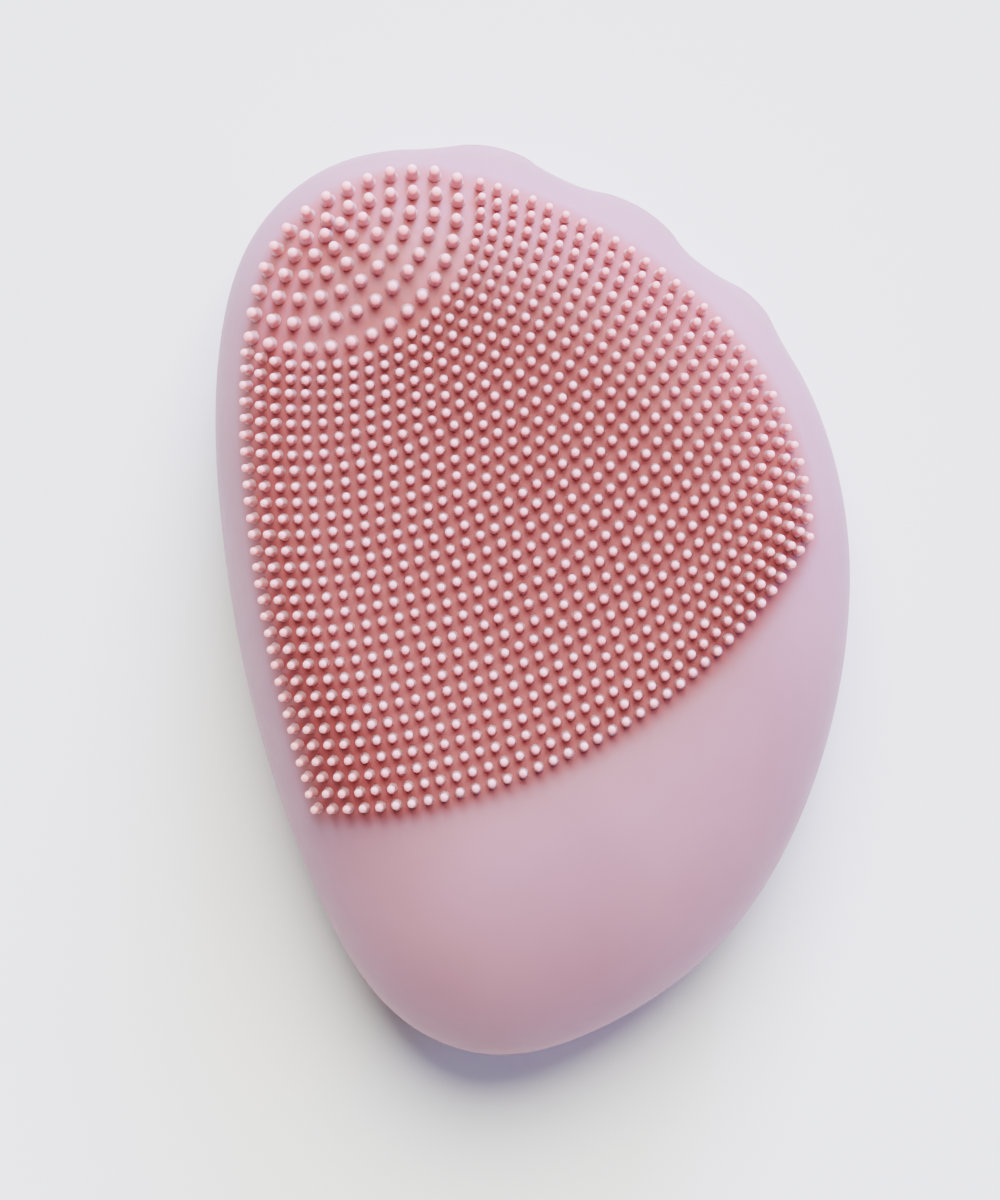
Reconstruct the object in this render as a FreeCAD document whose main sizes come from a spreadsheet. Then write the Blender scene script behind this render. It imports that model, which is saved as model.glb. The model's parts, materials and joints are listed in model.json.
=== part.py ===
import FreeCAD, Part
import math
import os
import re
import Sketcher

# Facial cleansing brush lying on its back. Millimetres.
# +X across the face, +Y from the handle tip to the head, +Z out of the bristle face.
# z = 0 is the flat foot on the back, the origin is under the middle of the body.

V = FreeCAD.Vector
X_AXIS = V(1, 0, 0)
Z_AXIS = V(0, 0, 1)

doc = FreeCAD.newDocument("FacialBrush")
dims = doc.addObject("Spreadsheet::Sheet", "dims")

DIMENSIONS = [
    # body shell
    ("seam_height", 13.0),
    ("face_height", 28.0),
    ("roll_left", 9.0),
    ("roll_top", 18.0),
    ("roll_right", 15.0),
    ("roll_bottom", 27.0),
    ("foot_inset", 11.0),
    ("skin_wall", 2.0),
    ("back_skin_wall", 3.0),
    ("bond_gap", 0.05),
    ("housing_wall", 2.0),
    ("gasket_thickness", 0.6),
    ("ridge_swell", 1.7),
    # bristles
    ("bristle_length", 3.1),
    ("bristle_lean", 0.2),
    ("root_sink", 0.6),
    ("fine_root", 0.62),
    ("fine_tip", 0.5),
    ("fine_pitch", 1.79),
    ("thick_root", 0.8),
    ("thick_tip", 0.68),
    ("thick_pitch", 2.34),
    # screws and bosses
    ("boss_radius", 3.0),
    ("boss_split", 10.0),
    ("pilot_radius", 1.15),
    ("case_head_radius", 2.0),
    ("case_head_height", 1.5),
    ("case_shank_radius", 1.1),
    ("case_shank_length", 10.5),
    ("case_head_seat", 6.5),
    ("small_head_radius", 1.5),
    ("small_head_height", 1.0),
    ("small_shank_radius", 0.8),
    ("small_shank_length", 4.5),
    ("post_radius", 2.4),
    # inner frame
    ("plate_base", 10.8),
    ("plate_thickness", 1.5),
    ("plate_width", 41.0),
    ("plate_bottom", -29.0),
    ("plate_top", 27.0),
    ("plate_corner", 4.0),
    ("slot_width", 15.0),
    ("slot_start", 5.5),
    # motor
    ("motor_across", -5.0),
    ("motor_height", 14.5),
    ("motor_start", 8.0),
    ("motor_length", 16.0),
    ("motor_radius", 6.0),
    ("can_wall", 0.5),
    ("boot_wall", 0.8),
    ("clamp_wall", 1.3),
    ("cradle_start", 10.0),
    ("cradle_length", 12.0),
    ("shaft_radius", 0.8),
    ("shaft_length", 26.0),
    ("bearing_radius", 2.0),
    ("rotor_radius", 4.3),
    ("rotor_length", 8.0),
    ("weight_radius", 5.0),
    ("weight_length", 6.0),
    ("running_gap", 0.05),
    # battery and board
    ("cell_width", 30.0),
    ("cell_length", 32.0),
    ("cell_thickness", 6.0),
    ("cell_corner", 1.6),
    ("pad_thickness", 0.5),
    ("board_base", 9.0),
    ("board_thickness", 1.2),
    ("board_width", 28.0),
    ("board_length", 32.0),
    ("board_centre", -12.0),
    ("wire_radius", 0.45),
    ("wire_bend", 0.65),
    # buttons
    ("button_travel", 0.5),
    ("power_radius", 4.5),
    ("step_radius", 3.4),
    ("power_centre", -4.0),
    ("plus_centre", -14.0),
    ("minus_centre", -24.0),
    ("flange_step", 0.7),
    ("flange_thickness", 0.3),
    ("stem_radius", 1.25),
    ("stem_top", 6.4),
    ("cap_face", 0.8),
    ("cap_gap", 0.2),
    ("panel_face", 1.0),
    ("panel_thickness", 1.2),
    ("panel_width", 14.0),
    ("panel_length", 36.0),
    ("panel_centre", -13.0),
    ("panel_rim", 1.0),
    ("panel_seal_thickness", 0.25),
    ("switch_side", 4.5),
    ("switch_depth", 2.0),
    ("plunger_radius", 1.0),
    ("plunger_length", 1.2),
    ("pipe_radius", 1.0),
    ("pipe_centre", 2.2),
    # charging socket
    ("socket_across", -7.4),
    ("socket_mouth", -48.4),
    ("socket_height", 8.7),
    ("socket_length", 10.5),
    ("socket_radius", 2.4),
    ("socket_bore", 1.3),
    ("socket_bore_depth", 9.0),
    ("socket_flange", 3.2),
    ("socket_flange_start", 8.4),
    ("socket_seal_thickness", 0.8),
]

for row, (alias, number) in enumerate(DIMENSIONS, start=1):
    dims.set(f"A{row}", alias)
    dims.set(f"B{row}", str(number))
    dims.setAlias(f"B{row}", alias)
doc.recompute()

# Widest outline of the body, seen from above the bristle face.
OUTLINE = [
    (34.9, 1.5), (32.6, 17.5), (27.6, 27.9), (18.2, 37.2), (4.6, 45.7), (-10.0, 49.5),
    (-22.0, 47.8), (-30.6, 40.3), (-34.3, 29.0), (-34.5, 11.0), (-30.8, -11.5), (-23.6, -32.5),
    (-13.2, -47.0), (-4.8, -50.0), (8.0, -46.8), (21.5, -36.8), (30.6, -21.0),
]
OUTLINE_SAMPLES = 120
SLICE_STEP = 15

# Three massage ridges round the edge of the head: direction of each end in degrees, share of the
# full swell. They fade out at the foot, and toward the face at the slice angle RIDGE_TOP.
RIDGES = [(102.0, 88.0, 0.95), (82.5, 66.5, 1.0), (60.5, 46.5, 0.8)]
RIDGE_TOP = 40

# Ends and sag of the first and last row of each bristle zone; the ends follow smooth edges.
FINE_LEFT = [(-31.5, 27.0), (-31.1, 11.0), (-28.5, -5.8), (-23.9, -22.9)]
FINE_RIGHT = [(-5.7, 45.7), (7.0, 40.4), (18.3, 32.3), (26.9, 20.9), (30.2, 6.9)]
FINE_ROWS = 29
FINE_SAG = (9.2, 8.0)
THICK_LEFT = [(-31.1, 28.7), (-30.2, 33.8), (-28.4, 38.4), (-24.9, 42.4)]
THICK_RIGHT = [(-8.3, 46.1), (-13.1, 47.1), (-17.8, 46.2), (-22.6, 44.1)]
THICK_ROWS = 7
THICK_SAG = (8.5, 2.0)

CASE_SCREWS = [(-22.0, 34.0), (13.0, 30.5), (-12.5, -33.0), (11.0, -34.5)]
PLATE_SCREWS = [(-18.0, -22.0), (18.0, -22.0), (-18.0, 2.0), (18.0, 2.0), (-17.5, 22.0), (10.0, 22.0)]
BOARD_RESTS = [(-11.0, -25.0), (11.0, -25.0), (-11.0, 1.0), (11.0, 1.0)]
CLAMP_SCREWS = [-10.6, 10.6]


# ---------------------------------------------------------------- sheet and placement helpers

def bound(text):
    """Expression text with every sheet alias pointed at the sheet."""
    return re.sub(r"\b([a-z]+(?:_[a-z]+)+)\b", r"dims.\1", str(text))


def size(text):
    """Number that an expression of sheet aliases gives."""
    return float(dims.evalExpression(bound(text)))


def place(item, x=0, y=0, z=0, turn=None):
    """Put an item at a sheet-driven position, turned about one axis."""
    if turn:
        item.Placement = FreeCAD.Placement(V(0, 0, 0), FreeCAD.Rotation(*turn))
    for axis, text in zip("xyz", (x, y, z)):
        item.setExpression(f"Placement.Base.{axis}", bound(text))
    return item


ALONG_Y = (X_AXIS, -90)


def name_part(item, label):
    item.Label = label
    PARTS.append(item)
    return item


PARTS = []


# ---------------------------------------------------------------- primitives and booleans

def cylinder(name, radius, height, x=0, y=0, z=0, turn=None):
    item = doc.addObject("Part::Cylinder", name)
    item.setExpression("Radius", bound(radius))
    item.setExpression("Height", bound(height))
    return place(item, x, y, z, turn)


def block(name, length, width, height, x=0, y=0, z=0):
    """Box centred on x and y, standing on z."""
    item = doc.addObject("Part::Box", name)
    item.setExpression("Length", bound(length))
    item.setExpression("Width", bound(width))
    item.setExpression("Height", bound(height))
    return place(item, f"({x}) - ({length}) / 2", f"({y}) - ({width}) / 2", z)


def freeform(name, shape):
    item = doc.addObject("Part::Feature", name)
    item.Shape = shape
    return item


def union(name, items):
    item = doc.addObject("Part::MultiFuse", name)
    item.Shapes = items
    return item


def overlap(name, items):
    item = doc.addObject("Part::MultiCommon", name)
    item.Shapes = items
    return item


def cut(name, base, tools):
    item = doc.addObject("Part::Cut", name)
    item.Base = base
    item.Tool = tools[0] if len(tools) == 1 else union(name + "_tools", tools)
    return item


# ---------------------------------------------------------------- sketched bodies

def new_body(label, listed=True):
    body = doc.addObject("PartDesign::Body", label)
    body.AllowCompound = True
    return name_part(body, label) if listed else body


def new_sketch(body, name, role="XY_Plane", lift=None):
    sketch = body.newObject("Sketcher::SketchObject", name)
    plane = [item for item in body.Origin.OriginFeatures if item.Role == role][0]
    sketch.AttachmentSupport = (plane, [""])
    sketch.MapMode = "FlatFace"
    if lift is not None:
        sketch.setExpression("AttachmentOffset.Base.z", bound(lift))
    return sketch


def pin_point(sketch, geometry, point, x, y):
    """Tie one sketch point to sheet-driven coordinates."""
    for kind, text, own_axis in (("DistanceX", x, -2), ("DistanceY", y, -1)):
        number = size(text)
        if abs(number) < 1e-9:
            sketch.addConstraint(Sketcher.Constraint("PointOnObject", geometry, point, own_axis))
            continue
        index = sketch.addConstraint(Sketcher.Constraint(kind, -1, 1, geometry, point, number))
        sketch.setExpression(f"Constraints[{index}]", bound(text))


def outline(sketch, corners):
    """Closed straight-sided outline through sheet-driven corners."""
    first = sketch.GeometryCount
    count = len(corners)
    spots = [V(size(x), size(y), 0) for x, y in corners]
    for index in range(count):
        sketch.addGeometry(Part.LineSegment(spots[index], spots[(index + 1) % count]))
    for index in range(count):
        follower = first + (index + 1) % count
        sketch.addConstraint(Sketcher.Constraint("Coincident", first + index, 2, follower, 1))
    for index, (x, y) in enumerate(corners):
        pin_point(sketch, first + index, 1, x, y)


def rectangle(sketch, width, length, x=0, y=0):
    left, right = f"({x}) - ({width}) / 2", f"({x}) + ({width}) / 2"
    low, high = f"({y}) - ({length}) / 2", f"({y}) + ({length}) / 2"
    outline(sketch, [(left, low), (right, low), (right, high), (left, high)])


def circle(sketch, radius, x=0, y=0):
    index = sketch.addGeometry(Part.Circle(V(size(x), size(y), 0), Z_AXIS, size(radius)))
    pin_point(sketch, index, 3, x, y)
    rule = sketch.addConstraint(Sketcher.Constraint("Radius", index, size(radius)))
    sketch.setExpression(f"Constraints[{rule}]", bound(radius))


def pad(body, sketch, length):
    feature = body.newObject("PartDesign::Pad", sketch.Name + "_pad")
    feature.Profile = sketch
    feature.setExpression("Length", bound(length))
    return feature


def pocket(body, sketch, depth):
    """Cut from the sketch upward along the body's own Z."""
    feature = body.newObject("PartDesign::Pocket", sketch.Name + "_pocket")
    feature.Profile = sketch
    feature.setExpression("Length", bound(depth))
    feature.Reversed = True
    return feature


def turned(label, corners, listed=True):
    """Body of revolution about its own Z from (radius, height) corners."""
    body = new_body(label, listed)
    sketch = new_sketch(body, label + "_profile", "XZ_Plane")
    outline(sketch, corners)
    feature = body.newObject("PartDesign::Revolution", label + "_turn")
    feature.Profile = sketch
    feature.ReferenceAxis = (sketch, ["V_Axis"])
    feature.Angle = 360
    return body


def tube_corners(inner, outer, low, high):
    return [(inner, low), (outer, low), (outer, high), (inner, high)]


def round_edges(body, radius, chosen):
    """Fillet the edges of the body's tip that the test picks."""
    doc.recompute()
    tip = body.Tip
    names = [f"Edge{i}" for i, edge in enumerate(tip.Shape.Edges, start=1) if chosen(edge)]
    feature = body.newObject("PartDesign::Fillet", body.Name + "_rounding")
    feature.Base = (tip, names)
    feature.setExpression("Radius", bound(radius))
    return feature


def upright(edge):
    ends = edge.Vertexes
    return len(ends) == 2 and abs(ends[0].Point.z - ends[1].Point.z) > 0.9 * edge.Length > 0


def copies(label, master, spots, listed=True):
    """One piece repeated at several spots, as a single named group of solids."""
    doc.recompute()
    group = []
    for x, y, z in spots:
        shape = master.Shape.copy()
        shape.translate(V(x, y, z))
        group.append(shape)
    item = freeform(label, Part.makeCompound(group))
    return name_part(item, label) if listed else item


# ---------------------------------------------------------------- freeform body shells

def smooth_curve(points, closed=False):
    curve = Part.BSplineCurve()
    curve.interpolate([V(x, y, 0) for x, y in points], PeriodicFlag=closed)
    return curve


EDGE = smooth_curve(OUTLINE, closed=True)


def edge_samples(count):
    """Point and inward normal at even steps round the widest outline."""
    samples = []
    for index in range(count):
        step = EDGE.LastParameter * index / count
        point = EDGE.value(step)
        along = EDGE.tangent(step)[0]
        samples.append((point, V(-along.y, along.x, 0)))
    return samples


def roll_width(point):
    """How far in from the outline the front face turns flat, by direction."""
    reach = math.hypot(point.x, point.y)
    side = size("roll_right") if point.x > 0 else size("roll_left")
    end = size("roll_top") if point.y > 0 else size("roll_bottom")
    return side * (point.x / reach) ** 2 + end * (point.y / reach) ** 2


def ridge_height(point):
    """Share of the full ridge swell at this direction, 0 away from the ridges."""
    heading = math.degrees(math.atan2(point.y, point.x))
    for start, end, share in RIDGES:
        if end < heading < start:
            return share * math.sin(math.pi * (start - heading) / (start - end)) ** 0.75
    return 0.0


def body_solid(name, inset, back_inset, ridged=False):
    """Whole pebble body, its surface moved in by the inset; more on the back."""
    seam = size("seam_height")
    rise = size("face_height") - seam - inset
    drop = seam - back_inset
    foot = size("foot_inset")
    samples = edge_samples(OUTLINE_SAMPLES if ridged else OUTLINE_SAMPLES // 2)
    front = [roll_width(point) for point, normal in samples]
    wires = []
    for angle in range(-90, 91, SLICE_STEP):
        lean = 1 - math.cos(math.radians(angle))
        lift = math.sin(math.radians(angle))
        ring = []
        for (point, normal), width in zip(samples, front):
            start = point + normal * inset
            reach = math.hypot(point.x, point.y)
            flat = point * (1 - (width if angle > 0 else foot) / reach)
            spot = start + (flat - start) * lean
            if ridged and angle < RIDGE_TOP:
                fade = math.sin(math.pi * (RIDGE_TOP - angle) / (RIDGE_TOP + 90)) ** 2
                spot = spot - normal * size("ridge_swell") * ridge_height(point) * fade
            height = seam + (rise if angle > 0 else drop) * lift
            ring.append(V(spot.x, spot.y, height))
        curve = Part.BSplineCurve()
        curve.interpolate(ring, PeriodicFlag=True)
        wires.append(Part.Wire(curve.toShape()))
    return freeform(name, Part.makeLoft(wires, True, False, False))


# ---------------------------------------------------------------- bristles

POLAR_EDGE = sorted(
    (math.atan2(point.y, point.x), math.hypot(point.x, point.y))
    for point, normal in edge_samples(720)
)


def edge_reach(heading):
    """Distance from the origin to the widest outline in one direction."""
    low, high = 0, len(POLAR_EDGE) - 1
    if not POLAR_EDGE[low][0] < heading < POLAR_EDGE[high][0]:
        return POLAR_EDGE[low][1]
    while high - low > 1:
        middle = (low + high) // 2
        if POLAR_EDGE[middle][0] < heading:
            low = middle
        else:
            high = middle
    (start, near), (end, far) = POLAR_EDGE[low], POLAR_EDGE[high]
    return near + (far - near) * (heading - start) / (end - start)


def face_height_at(x, y, seam, rise):
    """Height of the front skin above one spot."""
    reach = math.hypot(x, y)
    width = roll_width(V(x, y, 0)) if reach > 1 else 1
    depth = edge_reach(math.atan2(y, x)) - reach
    if depth >= width or reach <= 1:
        return seam + rise
    return seam + rise * math.sqrt(max(0.0, 1 - (1 - depth / width) ** 2))


def bristle_root(tip_x, tip_y, length, lean, seam, rise):
    """Spot on the skin and direction of the bristle whose tip is over one spot.

    The bristles are moulded almost upright: each leans by only a share of the skin's own slope.
    """
    x, y = tip_x, tip_y
    step = 0.15
    for turn in range(8):
        slope_x = face_height_at(x + step, y, seam, rise) - face_height_at(x - step, y, seam, rise)
        slope_y = face_height_at(x, y + step, seam, rise) - face_height_at(x, y - step, seam, rise)
        axis = V(-slope_x * lean, -slope_y * lean, 2 * step)
        axis.normalize()
        x = 0.4 * x + 0.6 * (tip_x - length * axis.x)
        y = 0.4 * y + 0.6 * (tip_y - length * axis.y)
    return V(x, y, face_height_at(x, y, seam, rise)), axis


def row_arc(left, right, sag, pitch):
    """Evenly spaced spots on an arc that bows toward the handle."""
    chord = V(right.x - left.x, right.y - left.y, 0)
    across = V(chord.y, -chord.x, 0)
    across.normalize()
    middle = (left + right) * 0.5 + across * sag
    arc = Part.Arc(left, middle, right)
    length = arc.length()
    count = round(length / pitch) + 1
    span = arc.LastParameter - arc.FirstParameter
    return [arc.value(arc.FirstParameter + span * index / (count - 1)) for index in range(count)]


def bristle_tips(left_edge, right_edge, rows, sags, pitch):
    """Tip spots of one zone, row after row."""
    left_curve = smooth_curve(left_edge)
    right_curve = smooth_curve(right_edge)
    spots = []
    for row in range(rows):
        share = row / (rows - 1)
        left = left_curve.value(left_curve.LastParameter * share)
        right = right_curve.value(right_curve.LastParameter * share)
        sag = sags[0] + (sags[1] - sags[0]) * share
        spots += row_arc(left, right, sag, pitch)
    return spots


def bristle_master(root, tip, length):
    """Tapered bristle with a broken-edged tip, standing on the origin."""
    corners = [(0, 0), (root, 0), (tip, length - 0.7 * tip), (0.5 * tip, length), (0, length), (0, 0)]
    profile = Part.makePolygon([V(x, 0, z) for x, z in corners])
    return Part.Face(profile).revolve(V(0, 0, 0), Z_AXIS, 360)


def bristles(label, left_edge, right_edge, rows, sags, pitch, root, tip):
    """One zone of bristles, each rooted a little way inside the front skin."""
    length = size("bristle_length")
    sink = size("root_sink")
    lean = size("bristle_lean")
    seam = size("seam_height")
    rise = size("face_height") - seam
    master = bristle_master(size(root), size(tip), length + sink)
    group = []
    for spot in bristle_tips(left_edge, right_edge, rows, sags, size(pitch)):
        base, axis = bristle_root(spot.x, spot.y, length, lean, seam, rise)
        shape = master.copy()
        shape.Placement = FreeCAD.Placement(base - axis * sink, FreeCAD.Rotation(Z_AXIS, axis))
        group.append(shape)
    name_part(freeform(label, Part.makeCompound(group)), label)


# ---------------------------------------------------------------- skin and housing

def above(name, level):
    return block(name, 160, 160, 60, 0, 0, level)


def below(name, level):
    return block(name, 160, 160, 60, 0, 0, f"({level}) - 60")


def socket_hole(name, radius):
    return cylinder(name, radius, 20, "socket_across", -58, "socket_height", ALONG_Y)


def stadium(name, width, length, height, z):
    """Round-ended plate shape on the button panel's centre."""
    straight = block(name + "_middle", width, f"({length}) - ({width})", height, 0, "panel_centre", z)
    ends = []
    for tag, sign in (("low", "-"), ("high", "+")):
        centre = f"panel_centre {sign} (({length}) - ({width})) / 2"
        ends.append(cylinder(f"{name}_{tag}", f"({width}) / 2", height, 0, centre, z))
    return union(name, [straight] + ends)


def build_skin():
    outer = body_solid("body_outer", 0, 0, ridged=True)
    inner = body_solid("skin_void", size("skin_wall"), size("back_skin_wall"))
    shell = cut("skin_shell", outer, [inner])
    name_part(overlap("front_skin", [shell, above("skin_front_half", "seam_height")]), "front_skin")
    rear = overlap("rear_skin_blank", [shell, below("skin_rear_half", "seam_height")])
    hole = socket_hole("skin_socket_hole", "socket_radius + 2 * bond_gap")
    opening = stadium("panel_opening", "panel_width + 2 * bond_gap", "panel_length + 2 * bond_gap", 6, -1)
    name_part(cut("rear_skin", rear, [opening, hole]), "rear_skin")


def build_housing():
    skin = size("skin_wall + bond_gap")
    back = size("back_skin_wall + bond_gap")
    wall = size("housing_wall")
    outer = body_solid("housing_outer", skin, back)
    inner = body_solid("housing_void", skin + wall, back + wall)
    core = body_solid("housing_core", skin + wall / 2, back + wall / 2)
    walls = cut("housing_shell", outer, [inner])
    seal_face = "socket_mouth + socket_flange_start - socket_seal_thickness"
    collar = cylinder("socket_collar", "socket_flange + 0.4", f"{seal_face} + 50", "socket_across", -50,
                      "socket_height", ALONG_Y)
    collar_inside = overlap("socket_collar_trimmed", [collar, core])
    hole = socket_hole("housing_socket_hole", "socket_radius + bond_gap")
    top = "seam_height + gasket_thickness / 2"
    bottom = "seam_height - gasket_thickness / 2"

    slab = block("gasket_slab", 160, 160, "gasket_thickness", 0, 0, bottom)
    name_part(overlap("housing_gasket", [walls, slab]), "housing_gasket")

    bosses = []
    pilots = []
    posts = []
    holes = []
    for index, (x, y) in enumerate(CASE_SCREWS):
        bosses.append(cylinder(f"boss_{index}", "boss_radius", 20, x, y, "boss_split"))
        pilots.append(cylinder(f"pilot_{index}", "pilot_radius", 8, x, y, "boss_split"))
        posts.append(cylinder(f"tower_{index}", "boss_radius", "boss_split - 3", x, y, 3))
        holes.append(cylinder(f"clear_{index}", "case_shank_radius + 0.1", 12, x, y, 0))
        holes.append(cylinder(f"seat_{index}", "case_head_radius + 0.1", "case_head_seat", x, y, 0))
    for index, (x, y) in enumerate(PLATE_SCREWS):
        posts.append(cylinder(f"post_{index}", "post_radius", "plate_base - 3", x, y, 3))
        holes.append(cylinder(f"post_hole_{index}", "small_shank_radius + 0.05", "plate_base - 6.5", x, y, 6.5))
    for index, (x, y) in enumerate(BOARD_RESTS):
        posts.append(cylinder(f"rest_{index}", 1.5, "board_base - 3", x, y, 3))
    for name in ("power", "plus", "minus"):
        holes.append(cylinder(f"{name}_hole", "stem_radius + 0.25", 6, 0, f"{name}_centre", 1))
    holes.append(cylinder("pipe_hole", "pipe_radius + bond_gap", 6, 0, "pipe_centre", 1))

    upper = above("housing_above", top)
    front_group = [
        overlap("front_walls", [walls, upper]),
        overlap("bosses_trimmed", [union("boss_group", bosses), core]),
    ]
    name_part(cut("front_housing", union("front_bossed", front_group), pilots), "front_housing")

    lower = below("housing_below", bottom)
    rear_group = [
        overlap("rear_walls", [walls, lower]),
        overlap("rear_collar", [collar_inside, lower]),
        overlap("posts_trimmed", [union("post_group", posts), core]),
    ]
    name_part(cut("rear_housing", union("rear_filled", rear_group), holes + [hole]), "rear_housing")


# ---------------------------------------------------------------- screws and inner frame

def screw(label, head_radius, head_height, shank_radius, shank_length):
    """Pan-head screw with a cross slot, head up, shank pointing down from z = 0."""
    body = turned(label, [
        (0, f"-{shank_length}"),
        (f"{shank_radius} * 0.6", f"-{shank_length}"),
        (shank_radius, f"-{shank_length} + {shank_radius}"),
        (shank_radius, 0),
        (head_radius, 0),
        (head_radius, f"{head_height} * 0.6"),
        (f"{head_radius} * 0.7", head_height),
        (0, head_height),
    ], listed=False)
    slots = new_sketch(body, label + "_cross", lift=f"{head_height} * 0.5")
    arm = f"{head_radius} * 0.55"
    half = f"{head_radius} * 0.12"
    outline(slots, [
        (f"-{arm}", f"-{half}"), (f"-{half}", f"-{half}"), (f"-{half}", f"-{arm}"),
        (half, f"-{arm}"), (half, f"-{half}"), (arm, f"-{half}"),
        (arm, half), (half, half), (half, arm),
        (f"-{half}", arm), (f"-{half}", half), (f"-{arm}", half),
    ])
    pocket(body, slots, f"{head_height}")
    return body


def build_screws():
    case = screw("case_screw", "case_head_radius", "case_head_height",
                 "case_shank_radius", "case_shank_length")
    doc.recompute()
    flipped = freeform("case_screw_flipped", case.Shape.copy().mirror(V(0, 0, 0), Z_AXIS))
    copies("housing_screws", flipped, [(x, y, size("case_head_seat")) for x, y in CASE_SCREWS])
    small = screw("small_screw", "small_head_radius", "small_head_height",
                  "small_shank_radius", "small_shank_length")
    top = size("plate_base + plate_thickness")
    copies("frame_screws", small, [(x, y, top) for x, y in PLATE_SCREWS])
    middle = size("cradle_start + cradle_length / 2")
    across = size("motor_across")
    spots = [(across + offset, middle, top + size("plate_thickness")) for offset in CLAMP_SCREWS]
    copies("clamp_screws", small, spots)


def motor_tube(name, inner, outer, start, length):
    """Tube round the motor axis."""
    solid = cylinder(name + "_solid", outer, length, "motor_across", start, "motor_height", ALONG_Y)
    space = cylinder(name + "_space", inner, f"({length}) + 2", "motor_across", f"({start}) - 1",
                     "motor_height", ALONG_Y)
    return cut(name, solid, [space])


def build_frame():
    plate = new_body("frame_plate", listed=False)
    sketch = new_sketch(plate, "plate_outline")
    left = "motor_across - slot_width / 2"
    right = "motor_across + slot_width / 2"
    outline(sketch, [
        ("-plate_width / 2", "plate_bottom"), ("plate_width / 2", "plate_bottom"),
        ("plate_width / 2", "plate_top"), (right, "plate_top"), (right, "slot_start"),
        (left, "slot_start"), (left, "plate_top"), ("-plate_width / 2", "plate_top"),
    ])
    pad(plate, sketch, "plate_thickness")
    limit = size("plate_width / 2") - 0.1
    round_edges(plate, "plate_corner", lambda edge: upright(edge) and abs(edge.Vertexes[0].Point.x) > limit)
    place(plate, 0, 0, "plate_base")

    inner = "motor_radius + boot_wall + bond_gap"
    outer = "motor_radius + boot_wall + bond_gap + clamp_wall"
    ring = motor_tube("cradle_ring", inner, outer, "cradle_start", "cradle_length")
    top = "plate_base + plate_thickness"
    cradle = overlap("cradle_half", [ring, below("cradle_below", top)])
    standoffs = []
    for index, (x, y) in enumerate(BOARD_RESTS):
        lift = "board_base + board_thickness"
        standoffs.append(cylinder(f"standoff_{index}", 1.5, f"plate_base + 0.5 - ({lift})", x, y, lift))
    lugs = []
    holes = []
    middle = "cradle_start + cradle_length / 2"
    for index, offset in enumerate(CLAMP_SCREWS):
        spot = f"motor_across + ({offset})"
        lugs.append(cylinder(f"lug_{index}", "post_radius", 5, spot, middle, f"{top} - 5"))
        holes.append(cylinder(f"lug_hole_{index}", "small_shank_radius + 0.05", 4, spot, middle, f"{top} - 4"))
    for index, (x, y) in enumerate(PLATE_SCREWS):
        holes.append(cylinder(f"plate_hole_{index}", "small_shank_radius + 0.1", 4, x, y, "plate_base - 1"))
    clear = cylinder("cradle_clear", inner, 40, "motor_across", 0, "motor_height", ALONG_Y)
    frame = union("frame_blank", [plate, cradle] + standoffs + lugs)
    name_part(cut("inner_frame", frame, holes + [clear]), "inner_frame")

    strap = motor_tube("strap_ring", inner, outer, "cradle_start", "cradle_length")
    arch = overlap("strap_arch", [strap, above("strap_above", top)])
    foot = block("strap_feet", "26", "cradle_length / 2", "plate_thickness", "motor_across", middle, top)
    opening = cylinder("strap_opening", inner, 40, "motor_across", 0, "motor_height", ALONG_Y)
    strap_holes = [
        cylinder(f"strap_hole_{index}", "small_shank_radius + 0.1", 6, f"motor_across + ({offset})", middle, top)
        for index, offset in enumerate(CLAMP_SCREWS)
    ]
    clamp = union("clamp_blank", [arch, foot])
    name_part(cut("motor_clamp", clamp, [opening] + strap_holes), "motor_clamp")


# ---------------------------------------------------------------- motor

def on_motor_axis(item, start="motor_start"):
    return place(item, "motor_across", start, "motor_height", ALONG_Y)


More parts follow.
